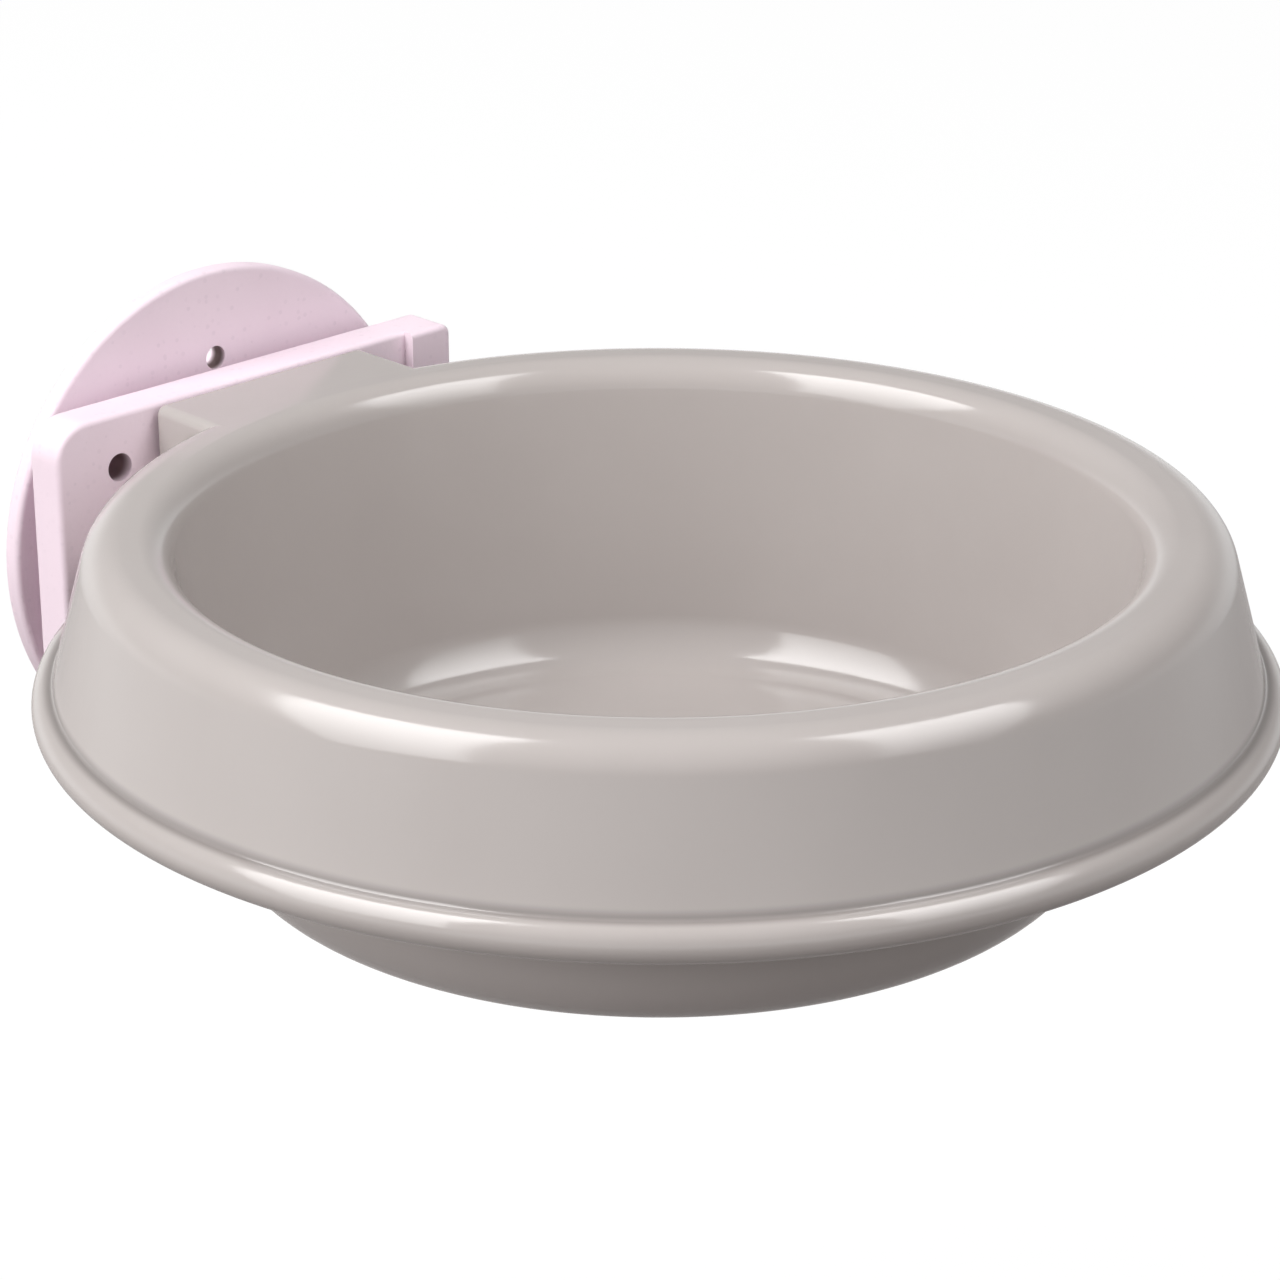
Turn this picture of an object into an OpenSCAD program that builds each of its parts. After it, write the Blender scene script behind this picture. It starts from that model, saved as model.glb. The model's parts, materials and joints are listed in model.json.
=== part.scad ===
// Crate dog bowl: a moulded bowl with a hollow hanger at its back, which drops over a hook
// on a bracket plate. A round disc, a bolt and a wing nut clamp the plate to crate wires.
// Origin: bolt axis at the clamping face of the plate. +Y points out of the crate, +Z is up.
// The bolt axis lies just below the middle of the bead around the foot of the skirt.

/* [Bowl] */
// Outside diameter over the bead at the foot of the skirt
bead_d = 160; // [140:1:200]
// Height of the bead
bead_t = 4.9; // [3.5:0.1:7]
// How far the bead stands proud of the foot of the skirt
bead_proud = 2.7; // [1.5:0.1:3]
// Height of the rim top above the middle of the bead
rim_h = 21.6; // [19:0.1:32]
// Diameter of the opening where the basin wall meets the rounded rim
opening_d = 122.4; // [105:0.2:126]
// Radius of the inner edge of the rim
rim_in_round = 4.5; // [2:0.1:5]
// Radius of the outer edge of the rim
rim_out_round = 5.5; // [3:0.1:6]
// Flare of the skirt from the vertical, in degrees
skirt_flare = 15.5; // [8:0.5:18]
// Depth of the bowl's underside below the middle of the bead
base_drop = 23.2; // [15:0.1:40]
// Radius between the basin wall and the basin floor, outside
base_round = 10; // [5:0.5:24]
// Draft of the basin wall from the vertical, in degrees
basin_draft = 9.2; // [4:0.1:16]
// Wall thickness of the bowl
wall = 2.5; // [1.6:0.1:2.9]

/* [Hanger] */
// Width of the hanger at the back of the bowl
hanger_w = 37.2; // [30:0.2:46]
// Radius of the edges along the sides of the hanger
hanger_round = 1.4; // [1.3:0.1:2.4]
// How far the back of the hanger lies inside the outline of the bead
hanger_short = 1; // [0:0.1:1.5]
// Gap between the back of the hanger and the plate
hanger_gap = 0.6; // [0.4:0.1:2]
// Width of the hook's stem, which passes through the slot in the hanger
stem_w = 16; // [14:0.5:20]
// Thickness of the hook's head
head_t = 3; // [2:0.1:4]
// Height of the hook's head
head_h = 14; // [8:0.5:16]
// Corner radius of the hook's head, which leads the bowl onto the hook
head_round = 2.5; // [1:0.1:4]
// Side and back clearance between hook and hanger
hook_clear = 0.4; // [0.3:0.05:0.8]
// Clearance between the top of the hook and the roof of the hanger
seat_clear = 0.3; // [0.2:0.05:0.6]

/* [Bracket plate] */
// Width of the plate
plate_w = 70; // [60:0.2:90]
// Thickness of the plate
plate_t = 6.4; // [4:0.2:9]
// Height of the plate's top edge above the rim
plate_rise = 0.1; // [0:0.1:6]
// Height of the bolt axis above the middle of the bowl's bead
bolt_rise = -1.4; // [-4:0.1:4]
// Depth of the plate's bottom edge below the bolt axis
plate_drop = 23; // [16:0.2:30]
// Corner radius at the plain end of the plate
plate_corner = 5; // [3:0.5:10]
// Corner radius at the end with the raised pad
pad_corner = 1.5; // [1.4:0.1:5]
// Width of the raised pad at one end of the plate
pad_w = 7.4; // [4:0.1:8]
// Height of the raised pad
pad_h = 1.7; // [0.8:0.1:2.5]
// Diameter of the screw holes in the plate
screw_d = 4; // [3:0.1:5]
// Distance of the screw holes from the ends of the plate
screw_end = 10.4; // [10:0.1:14]
// Distance of the screw holes from the top and bottom edges of the plate
screw_edge = 7.7; // [5:0.1:10]
// Radius on the edges of the plate, the disc and the hanger's back
edge_round = 0.8; // [0.4:0.1:1.2]

/* [Clamp] */
// Space for the crate wires between plate and disc
wire_gap = 2.8; // [2:0.1:6]
// Diameter of the clamp disc
disc_d = 72.4; // [60:0.2:90]
// Thickness of the clamp disc
disc_t = 3; // [2.6:0.1:5]
// Diameter of the holes in the disc
disc_hole_d = 3.4; // [3:0.1:6]
// Circle on which the holes in the disc lie
disc_hole_circle = 46.8; // [34:0.2:54]
// Number of holes in the disc
disc_holes = 4; // [2:1:8]
// Diameter of the hub at the back of the disc
disc_hub_d = 20; // [18:0.5:26]
// Height of the hub at the back of the disc
disc_hub_h = 2; // [1:0.1:4]

/* [Bolt and wing nut] */
// Diameter of the bolt
bolt_d = 6; // [5:0.1:7]
// Length of the bolt under its head
bolt_len = 40; // [34:1:55]
// Width of the bolt head and of the nut insert across their flats
hex_af = 10; // [9.5:0.1:11]
// Height of the bolt head
bolt_head_h = 4; // [3:0.1:5]
// Length of the chamfer at the tip of the bolt
bolt_tip = 1; // [0.5:0.1:1.5]
// Depth of the bolt head below the face of the hook
bolt_head_sink = 0.5; // [0.2:0.1:1]
// Diameter of the washer
washer_d = 16; // [14:0.5:18]
// Thickness of the washer
washer_t = 1.2; // [0.8:0.1:2]
// Diameter of the wing nut's hub at the washer
wing_hub_d = 16; // [15:0.5:20]
// Diameter of the wing nut's hub at its outer end
wing_hub_end_d = 13; // [11:0.5:15]
// Height of the wing nut's hub
wing_hub_h = 11; // [9:0.5:15]
// Span over the tips of the two wings
wing_span = 44; // [38:1:60]
// Thickness of a wing
wing_t = 4; // [3:0.1:5]
// Height of a wing from edge to edge
wing_h = 10; // [7:0.5:12]
// Upward slant of the wings, in degrees
wing_slant = 24; // [10:1:35]
// Turn of the wings from level, in degrees
wing_turn = 45; // [0:5:90]
// Height of the nut insert
insert_h = 5; // [4:0.1:6]
// Clearance around the bolt in the disc, the washer and the wing nut, per side
bolt_clear = 0.3; // [0.3:0.05:0.6]
// Running clearance of the bolt in the nut insert, per side
thread_clear = 0.05; // [0.02:0.01:0.1]
// Clearance around a hex in its pocket, per side
hex_clear = 0.1; // [0.05:0.05:0.2]

/* [Hidden] */
$fn = 128;
hex_sides = 6;
// How far a cut runs past the face that it opens
over = 1;
// How far a straight wall ends inside the round that it runs into
tuck = 0.002;
// Least radius of a round on the hollow side of the bowl's wall
min_round = 0.5;

bowl_grey = [0.71, 0.68, 0.66];
bracket_white = [0.93, 0.88, 0.90];
zinc = [0.75, 0.76, 0.78];
brass = [0.80, 0.66, 0.38];

// Bead and skirt, as radii from the bowl's axis and heights from the middle of the bead
bead_r = bead_t / 2;
bead_mid = bead_d / 2 - bead_r;
bead_top_out = bead_d / 2 - bead_proud;
crease_z = sqrt(bead_r * bead_r - pow(bead_top_out - bead_mid, 2));
skirt_foot = bead_top_out + crease_z * tan(skirt_flare);

// Basin wall: a straight drafted wall that runs tangent into the round at the floor
round_z = base_round - base_drop;
rim_in_z = rim_h - rim_in_round;
function wall_r(mid, z, inset) =
    mid + (base_round - inset + (z - round_z) * sin(basin_draft)) / cos(basin_draft);
round_mid = opening_d / 2 - wall_r(0, rim_in_z, wall);

// Hanger and hook, as distances from the bowl's axis
hanger_back = bead_d / 2 - hanger_short;
plate_face = hanger_back + hanger_gap;
hanger_inside = hanger_back - wall;
head_back = hanger_inside - hook_clear;
head_front = head_back - head_t;
head_w = hanger_w - 2 * wall - 2 * hook_clear;
hook_top = rim_h - bolt_rise - wall - seat_clear;
hook_reach = plate_face - head_front;
bowl_axis_y = -(plate_t + plate_face);

// Plate
plate_top = rim_h - bolt_rise + plate_rise;
plate_h = plate_top + plate_drop;
plate_mid_z = (plate_top - plate_drop) / 2;

// Stack along the bolt
bolt_hole_d = bolt_d + 2 * bolt_clear;
bolt_seat_y = -(plate_t + hook_reach) + bolt_head_sink + bolt_head_h;
disc_hub_y = wire_gap + disc_t;
washer_y = disc_hub_y + disc_hub_h;
wing_y = washer_y + washer_t;

// Rectangle with round corners, centred
module round_rect(w, h, r) {
    square([w - 2 * r, h], center = true);
    square([w, h - 2 * r], center = true);
    for (x = [-1, 1], y = [-1, 1])
        translate([x * (w / 2 - r), y * (h / 2 - r)]) circle(r);
}

// Round disc with rounded edges, standing on Z, centred
module puck(r, t, edge) {
    rotate_extrude() intersection() {
        round_rect(2 * r, t, edge);
        translate([0, -t]) square([r + over, 2 * t]);
    }
}

// Upright slab with round corners and rounded edges, centred
module slab(w, t, h, corner, edge) {
    linear_extrude(h - 2 * corner, center = true) round_rect(w, t, edge);
    rotate([0, 90, 0]) linear_extrude(w - 2 * corner, center = true) round_rect(h, t, edge);
    for (x = [-1, 1], z = [-1, 1])
        translate([x * (w / 2 - corner), 0, z * (h / 2 - corner)])
            rotate([90, 0, 0]) puck(corner, t, edge);
}

// Prism with a hexagon's flats top and bottom, from y0 towards +Y
module hex_bar(af, y0, len) {
    translate([0, y0, 0]) rotate([-90, 0, 0])
        cylinder(d = af / cos(180 / hex_sides), h = len, $fn = hex_sides);
}

// Round bar along the bolt axis, from y0 towards +Y
module axis_bar(d, y0, len) {
    translate([0, y0, 0]) rotate([-90, 0, 0]) cylinder(d = d, h = len);
}

// Half section inside the basin wall's face at an inset, up to height top
module basin_section(inset, top) {
    r = base_round - inset;
    tangent_z = round_z - r * sin(basin_draft);
    translate([round_mid, round_z]) circle(r);
    translate([0, inset - base_drop]) square([round_mid, top + base_drop - inset]);
    polygon([
        [0, tangent_z],
        [wall_r(round_mid, tangent_z, inset + tuck), tangent_z],
        [wall_r(round_mid, top, inset - tuck), top],
        [0, top]
    ]);
}

// Half section of the basin's inside, opened at the rim by the rim's inner edge
module inside_section() {
    mid = wall_r(round_mid, rim_in_z, wall - rim_in_round);
    basin_section(wall, rim_h + over);
    difference() {
        polygon([
            [0, rim_in_z],
            [mid - rim_in_round * cos(basin_draft), rim_in_z + rim_in_round * sin(basin_draft)],
            [mid, rim_in_z],
            [mid, rim_h + over],
            [0, rim_h + over]
        ]);
        translate([mid, rim_in_z]) circle(rim_in_round);
    }
}

// Half section under the rim and inside the skirt's face at an inset, down to height bottom
module skirt_section(inset, bottom) {
    r = max(rim_out_round - inset, min_round);
    mid_z = rim_h - inset - r;
    foot_r = skirt_foot - inset / cos(skirt_flare);
    mid_r = foot_r - (r + mid_z * sin(skirt_flare)) / cos(skirt_flare);
    tangent = [mid_r + (r - tuck) * cos(skirt_flare), mid_z + (r - tuck) * sin(skirt_flare)];
    translate([mid_r, mid_z]) circle(r);
    polygon([[0, bottom], [foot_r, bottom], [foot_r, 0], tangent, [mid_r, mid_z + r], [0, mid_z + r]]);
}

// Outside of the bowl and its hanger, filled
module bowl_outside() {
    rotate_extrude() skirt_section(0, 0);
    rotate_extrude() basin_section(0, rim_h);
    difference() {
        rotate_extrude() translate([bead_mid, 0]) circle(bead_r);
        translate([-hanger_w / 2, hanger_back, -bead_t]) cube([hanger_w, bead_d, 2 * bead_t]);
    }
    translate([0, hanger_back / 2, (rim_h - bead_r) / 2])
        slab(hanger_w, hanger_back, rim_h + bead_r, hanger_round, edge_round);
}

// Space under the rim, between skirt and basin, and inside the hanger
module bowl_hollow() {
    low = -base_drop - over;
    difference() {
        union() {
            rotate_extrude() skirt_section(wall, low);
            translate([wall - hanger_w / 2, 0, low])
                cube([hanger_w - 2 * wall, hanger_inside, rim_h - wall - low]);
            translate([-stem_w / 2 - hook_clear, 0, low])
                cube([stem_w + 2 * hook_clear, bead_d, rim_h - wall - low]);
        }
        rotate_extrude() basin_section(0, rim_h);
    }
}

module bowl() {
    color(bowl_grey) translate([0, bowl_axis_y, -bolt_rise]) difference() {
        bowl_outside();
        rotate_extrude() inside_section();
        bowl_hollow();
    }
}

// Stem, head and bolt boss of the hook, on the face of the plate
module hook() {
    rotate([90, 0, 0]) {
        translate([0, 0, plate_t]) linear_extrude(hook_reach) {
            circle(d = stem_w);
            translate([-stem_w / 2, 0]) square([stem_w, hook_top]);
        }
        translate([0, hook_top - head_h / 2, plate_t + hook_reach - head_t])
            linear_extrude(head_t) round_rect(head_w, head_h, head_round);
    }
}

// Plate without its hook and pad, its corners large at one end and small at the other
module plate_slab() {
    translate([0, -plate_t / 2, plate_mid_z]) {
        slab(plate_w, plate_t, plate_h, plate_corner, edge_round);
        translate([plate_w / 4, 0, 0]) slab(plate_w / 2, plate_t, plate_h, pad_corner, edge_round);
    }
}

module mounting_plate() {
    color(bracket_white) difference() {
        union() {
            plate_slab();
            hook();
            intersection() {
                translate([0, -pad_h, 0]) plate_slab();
                translate([plate_w / 2 - pad_w, -plate_t - pad_h - over, -plate_drop - over])
                    cube([pad_w + over, plate_t + pad_h, plate_h + 2 * over]);
            }
        }
        for (x = [-1, 1], z = [-1, 1])
            translate([x * (plate_w / 2 - screw_end), 0, plate_mid_z + z * (plate_h / 2 - screw_edge)])
                axis_bar(screw_d, -plate_t - pad_h - over, plate_t + pad_h + 2 * over);
        axis_bar(bolt_hole_d, -plate_t - hook_reach, plate_t + hook_reach + over);
        hex_bar(hex_af + 2 * hex_clear, -plate_t - hook_reach - over, bolt_head_sink + bolt_head_h + over);
    }
}

module clamp_disc() {
    color(bracket_white) difference() {
        union() {
            translate([0, wire_gap + disc_t / 2, 0]) rotate([90, 0, 0]) puck(disc_d / 2, disc_t, edge_round);
            axis_bar(disc_hub_d, disc_hub_y - disc_t / 2, disc_t / 2 + disc_hub_h);
        }
        axis_bar(bolt_hole_d, wire_gap - over, disc_t + disc_hub_h + 2 * over);
        for (i = [0 : disc_holes - 1])
            rotate([0, i * 360 / disc_holes, 0]) translate([0, 0, disc_hole_circle / 2])
                axis_bar(disc_hole_d, wire_gap - over, disc_t + 2 * over);
    }
}

module clamp_bolt() {
    color(zinc) {
        hex_bar(hex_af, bolt_seat_y - bolt_head_h, bolt_head_h);
        axis_bar(bolt_d, bolt_seat_y, bolt_len - bolt_tip);
        translate([0, bolt_seat_y + bolt_len - bolt_tip, 0]) rotate([-90, 0, 0])
            cylinder(d1 = bolt_d, d2 = bolt_d - 2 * bolt_tip, h = bolt_tip);
    }
}

module washer() {
    color(zinc) difference() {
        axis_bar(washer_d, washer_y, washer_t);
        axis_bar(bolt_hole_d, washer_y - over, washer_t + 2 * over);
    }
}

// One wing: a bar with a round end that slants away from the disc, standing on Z
module wing() {
    half_h = wing_h / 2;
    reach = (wing_span / 2 - half_h + half_h * sin(wing_slant)) / cos(wing_slant);
    rotate([90, 0, 0]) linear_extrude(wing_t, center = true) rotate(wing_slant) {
        square([reach, wing_h]);
        translate([reach, half_h]) circle(half_h);
    }
}

module wing_nut() {
    color(bracket_white) difference() {
        translate([0, wing_y, 0]) rotate([-90, 0, 0]) {
            cylinder(d1 = wing_hub_d, d2 = wing_hub_end_d, h = wing_hub_h);
            for (turn = [0, 180])
                rotate(turn - wing_turn) wing();
        }
        axis_bar(bolt_hole_d, wing_y - over, wing_hub_h + wing_span);
        hex_bar(hex_af + 2 * hex_clear, wing_y - over, insert_h + over);
    }
}

module nut_insert() {
    color(brass) difference() {
        hex_bar(hex_af, wing_y, insert_h);
        axis_bar(bolt_d + 2 * thread_clear, wing_y - over, insert_h + 2 * over);
    }
}

bowl();
mounting_plate();
clamp_disc();
clamp_bolt();
washer();
wing_nut();
nut_insert();
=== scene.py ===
"""Looks of a crate bowl: a moulded bowl hung on a bracket plate, clamped by a disc and a wing nut."""
import json
import logging
import math
from dataclasses import dataclass, field
from enum import Enum
from typing import Callable, Iterable, Sequence, Union

import bmesh
import bpy
from mathutils import Matrix, Vector

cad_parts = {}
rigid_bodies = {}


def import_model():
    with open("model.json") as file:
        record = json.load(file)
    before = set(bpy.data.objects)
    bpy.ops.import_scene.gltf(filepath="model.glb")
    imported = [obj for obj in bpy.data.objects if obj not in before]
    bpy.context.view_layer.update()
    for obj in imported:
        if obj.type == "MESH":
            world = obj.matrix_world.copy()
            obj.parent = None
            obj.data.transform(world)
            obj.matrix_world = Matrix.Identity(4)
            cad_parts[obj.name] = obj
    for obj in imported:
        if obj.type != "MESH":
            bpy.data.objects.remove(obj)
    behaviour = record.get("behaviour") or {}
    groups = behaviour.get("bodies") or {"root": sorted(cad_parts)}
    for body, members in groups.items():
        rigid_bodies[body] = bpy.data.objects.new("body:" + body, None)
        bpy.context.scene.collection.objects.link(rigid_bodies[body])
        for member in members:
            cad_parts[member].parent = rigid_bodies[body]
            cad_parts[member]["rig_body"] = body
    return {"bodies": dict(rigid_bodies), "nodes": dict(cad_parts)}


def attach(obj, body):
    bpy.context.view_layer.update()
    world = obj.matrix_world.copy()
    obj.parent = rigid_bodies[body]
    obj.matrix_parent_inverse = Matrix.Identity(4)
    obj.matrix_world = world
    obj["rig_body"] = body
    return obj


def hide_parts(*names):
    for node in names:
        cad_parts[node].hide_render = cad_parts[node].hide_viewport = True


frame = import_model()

LOG = logging.getLogger("crate_bowl")
MM = 0.001
TINY = 1e-6
FULL_TURN = 2.0 * math.pi
SHARP_DEG = 35.0
ROUND_STEP_DEG = 5.0
ROUND_PROFILE = 0.5

Triple = tuple[float, float, float]
Colour = Triple
Point = tuple[float, float]
Ring = list[Vector]
Size = Union[float, Callable[[float], float]]
Socket = bpy.types.NodeSocket
Value = Union[Socket, float, tuple[float, ...]]


class Slot(str, Enum):
    """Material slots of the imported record."""

    BOWL = "bowl_plastic"
    BRACKET = "bracket_plastic"
    ZINC = "zinc_steel"
    BRASS = "brass"


class Body(str, Enum):
    """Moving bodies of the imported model."""

    BRACKET = "bracket"
    BOWL = "bowl"
    CLAMP = "clamp"
    NUT = "nut"


class Effect(str, Enum):
    """Surface effects that several finishes share."""

    MOULDED_SKIN = "moulded_skin"
    SPECKLE = "speckle"
    FINE_SCRATCHES = "fine_scratches"
    TURNED_LINES = "turned_lines"


class Panel(Enum):
    """Kinds of light panel: a softbox shows as a highlight in gloss, a fill does not."""

    SOFTBOX = "softbox"
    FILL = "fill"


class Cut(str, Enum):
    """Ways to combine two closed meshes."""

    JOIN = "UNION"
    TAKE_OUT = "DIFFERENCE"


class NodePen:
    """Adds nodes to one node tree and joins them."""

    colour_inputs = (0, 6, 7)
    colour_result = 2

    def __init__(self, tree: bpy.types.NodeTree) -> None:
        """Takes the tree that the pen writes in."""
        self.tree = tree

    @classmethod
    def on(cls, owner: bpy.types.ID) -> "NodePen":
        """Empties the node tree of a material, world or lamp.

        Args:
            owner: The material, world or lamp.

        Returns:
            A pen for its tree.
        """
        owner.use_nodes = True
        owner.node_tree.nodes.clear()
        return cls(owner.node_tree)

    def add(self, kind: str, **settings: object) -> bpy.types.Node:
        """Adds one node.

        Args:
            kind: Blender's name of the node type.
            settings: Properties to set on the node.

        Returns:
            The new node.
        """
        node = self.tree.nodes.new(kind)
        for name, value in settings.items():
            setattr(node, name, value)
        return node

    def join(self, source: Value, target: Socket) -> None:
        """Links an output to an input, or sets the input where the source is a plain value.

        Args:
            source: The output or the value.
            target: The input.
        """
        if isinstance(source, Socket):
            self.tree.links.new(source, target)
        else:
            target.default_value = source

    def math(self, operation: str, first: Value, second: Value = 0.0) -> Socket:
        """Adds a Math node.

        Args:
            operation: Name of the operation.
            first: Socket or number for the first input.
            second: Socket or number for the second input.

        Returns:
            The node's output.
        """
        node = self.add("ShaderNodeMath", operation=operation)
        self.join(first, node.inputs[0])
        self.join(second, node.inputs[1])
        return node.outputs[0]

    def length(self, first: Value, second: Value) -> Socket:
        """Adds the nodes for the length of two sides at right angles, and returns its socket."""
        squares = self.math("MULTIPLY", first, first), self.math("MULTIPLY", second, second)
        return self.math("SQRT", self.math("ADD", *squares))

    def span(
        self, value: Value, low: float, high: float, to_low: Value = 0.0, to_high: Value = 1.0
    ) -> Socket:
        """Maps a value from one range to another with soft ends.

        Args:
            value: Socket to map.
            low: Start of the source range.
            high: End of the source range.
            to_low: Result at the start.
            to_high: Result at the end.

        Returns:
            The mapped value's socket.
        """
        node = self.add("ShaderNodeMapRange", interpolation_type="SMOOTHSTEP")
        for source, target in zip((value, low, high, to_low, to_high), node.inputs):
            self.join(source, target)
        return node.outputs[0]

    def mix(self, factor: Value, first: Value, second: Value) -> Socket:
        """Mixes two colours.

        Args:
            factor: Share of the second colour.
            first: Socket or colour at factor 0.
            second: Socket or colour at factor 1.

        Returns:
            The mixed colour's socket.
        """
        node = self.add("ShaderNodeMix", data_type="RGBA")
        for source, place in zip((factor, first, second), self.colour_inputs):
            self.join(source, node.inputs[place])
        return node.outputs[self.colour_result]

    def noise(self, place: Socket, scale: Value, detail: float = 2.0) -> Socket:
        """Adds a noise texture.

        Args:
            place: Point of the surface.
            scale: Scale of the noise.
            detail: Number of finer layers in it.

        Returns:
            The noise's value socket.
        """
        node = self.add("ShaderNodeTexNoise")
        self.join(place, node.inputs["Vector"])
        self.join(scale, node.inputs["Scale"])
        node.inputs["Detail"].default_value = detail
        return node.outputs[0]

    def place(self) -> Socket:
        """Returns the surface point in the object's own coordinates."""
        return self.add("ShaderNodeTexCoord").outputs["Object"]

    def split(self, vector: Socket) -> tuple[Socket, Socket, Socket]:
        """Takes a vector apart.

        Args:
            vector: The vector's socket.

        Returns:
            The sockets of its X, Y and Z.
        """
        node = self.add("ShaderNodeSeparateXYZ")
        self.join(vector, node.inputs[0])
        return node.outputs["X"], node.outputs["Y"], node.outputs["Z"]


@dataclass
class EffectLibrary:
    """Builds each shared surface effect once, as a node group."""

    drift_low: float = 0.3
    drift_high: float = 0.7
    gloss_finer: float = 2.3
    speck_soft: float = 0.12
    speck_faint: float = 0.45
    scratch_turns: Triple = (0.4, 1.5, 2.6)
    scratch_tilt: Triple = (0.3, 0.5, 1.0)
    scratch_stretch: Triple = (0.04, 1.0, 1.0)
    scratch_width: float = 0.006
    run_scale: float = 0.25
    run_low: float = 0.55
    run_high: float = 0.68
    line_low: float = 0.35
    line_high: float = 0.65
    built: dict[Effect, bpy.types.NodeTree] = field(default_factory=dict)

    def get(self, effect: Effect) -> bpy.types.NodeTree:
        """Finds an effect's node group, or builds it at its first use.

        Args:
            effect: The effect.

        Returns:
            The effect's node group.
        """
        if effect not in self.built:
            maker: dict[Effect, Callable[[], bpy.types.NodeTree]] = {
                Effect.MOULDED_SKIN: self.moulded_skin,
                Effect.SPECKLE: self.speckle,
                Effect.FINE_SCRATCHES: self.fine_scratches,
                Effect.TURNED_LINES: self.turned_lines,
            }
            self.built[effect] = maker[effect]()
        return self.built[effect]

    @staticmethod
    def start(effect: Effect, inputs: Iterable[str], outputs: Iterable[str]) -> tuple[NodePen, dict, dict]:
        """Starts a group with float sockets.

        Args:
            effect: The effect, whose name the group takes.
            inputs: Names of the inputs.
            outputs: Names of the outputs.

        Returns:
            A pen, the group's inputs as sockets, and the sockets that its outputs are joined to.
        """
        tree = bpy.data.node_groups.new(effect.value, "ShaderNodeTree")
        for name in inputs:
            tree.interface.new_socket(name, in_out="INPUT", socket_type="NodeSocketFloat")
        for name in outputs:
            tree.interface.new_socket(name, in_out="OUTPUT", socket_type="NodeSocketFloat")
        pen = NodePen(tree)
        given = pen.add("NodeGroupInput").outputs
        result = pen.add("NodeGroupOutput").inputs
        return pen, {n: given[n] for n in inputs}, {n: result[n] for n in outputs}

    def moulded_skin(self) -> bpy.types.NodeTree:
        """Makes the fine peel of a mould's face, and slow drifts of tone and gloss across a moulding.

        Returns:
            The effect's node group.
        """
        pen, given, result = self.start(
            Effect.MOULDED_SKIN, ("Peel Scale", "Drift Scale"), ("Tone", "Gloss", "Height")
        )
        point = pen.place()
        pen.join(pen.noise(point, given["Peel Scale"], detail=3.0), result["Height"])
        tone = pen.noise(point, given["Drift Scale"], detail=4.0)
        pen.join(pen.span(tone, self.drift_low, self.drift_high), result["Tone"])
        finer = pen.math("MULTIPLY", given["Drift Scale"], self.gloss_finer)
        gloss = pen.noise(point, finer, detail=3.0)
        pen.join(pen.span(gloss, self.drift_low, self.drift_high), result["Gloss"])
        return pen.tree

    def speckle(self) -> bpy.types.NodeTree:
        """Makes small round specks of uneven strength, spread at random.

        Returns:
            The effect's node group.
        """
        pen, given, result = self.start(Effect.SPECKLE, ("Scale", "Radius"), ("Mask",))
        cells = pen.add("ShaderNodeTexVoronoi")
        pen.join(pen.place(), cells.inputs["Vector"])
        pen.join(given["Scale"], cells.inputs["Scale"])
        near = pen.math("SUBTRACT", given["Radius"], cells.outputs["Distance"])
        spot = pen.span(near, 0.0, self.speck_soft)
        channels = pen.add("ShaderNodeSeparateColor")
        pen.join(cells.outputs["Color"], channels.inputs[0])
        strength = pen.span(channels.outputs[0], self.speck_faint, 1.0)
        pen.join(pen.math("MULTIPLY", spot, strength), result["Mask"])
        return pen.tree

    def fine_scratches(self) -> bpy.types.NodeTree:
        """Makes hairline scratches in three directions, broken up into short runs.

        Returns:
            The effect's node group.
        """
        pen, given, result = self.start(Effect.FINE_SCRATCHES, ("Scale", "Amount"), ("Mask",))
        point = pen.place()
        total: Value = 0.0
        for turn in self.scratch_turns:
            mapping = pen.add("ShaderNodeMapping")
            mapping.inputs["Rotation"].default_value = tuple(share * turn for share in self.scratch_tilt)
            mapping.inputs["Scale"].default_value = self.scratch_stretch
            pen.join(point, mapping.inputs["Vector"])
            line = pen.noise(mapping.outputs[0], given["Scale"], detail=1.0)
            off = pen.math("ABSOLUTE", pen.math("SUBTRACT", line, 0.5))
            total = pen.math("MAXIMUM", total, pen.span(off, 0.0, self.scratch_width, 1.0, 0.0))
        runs = pen.noise(point, pen.math("MULTIPLY", given["Scale"], self.run_scale))
        broken = pen.math("MULTIPLY", total, pen.span(runs, self.run_low, self.run_high))
        pen.join(pen.math("MULTIPLY", broken, given["Amount"]), result["Mask"])
        return pen.tree

    def turned_lines(self) -> bpy.types.NodeTree:
        """Makes tool lines that run round the bolt axis.

        Returns:
            The effect's node group.
        """
        pen, given, result = self.start(Effect.TURNED_LINES, ("Scale",), ("Mask", "Height"))
        x, y, z = pen.split(pen.place())
        joined = pen.add("ShaderNodeCombineXYZ")
        pen.join(pen.length(x, z), joined.inputs["X"])
        pen.join(y, joined.inputs["Y"])
        lines = pen.noise(joined.outputs[0], given["Scale"], detail=4.0)
        pen.join(lines, result["Height"])
        pen.join(pen.span(lines, self.line_low, self.line_high), result["Mask"])
        return pen.tree


EFFECTS = EffectLibrary()


def rgba(colour: Colour) -> tuple[float, float, float, float]:
    """Returns a colour with full alpha."""
    return (*colour, 1.0)


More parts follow.
